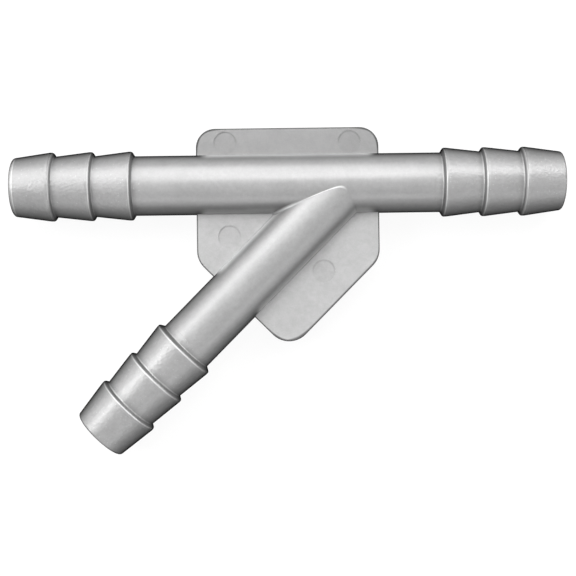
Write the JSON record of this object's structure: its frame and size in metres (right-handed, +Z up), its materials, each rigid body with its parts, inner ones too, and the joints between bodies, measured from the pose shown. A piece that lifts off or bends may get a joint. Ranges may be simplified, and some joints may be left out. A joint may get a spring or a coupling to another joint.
{
  "type": "y hose connector",
  "caption": "Moulded grey plastic Y hose connector: straight run, angled branch, barbed ends and a flat web around the junction, for joining hoses.",
  "frame": {"origin": "on the axis of the straight run, half way between its two ends", "axes": "+X along the run, +Y across it away from the branch in the plane of the web, +Z up out of the face of the web that carries the ejector pin marks"},
  "size_m": [0.0944, 0.056, 0.012],
  "materials": {
    "moulded_plastic": "satin, with a fine grain"
  },
  "bodies": {
    "root": {"connector_body": "moulded_plastic"}
  },
  "joints": []
}
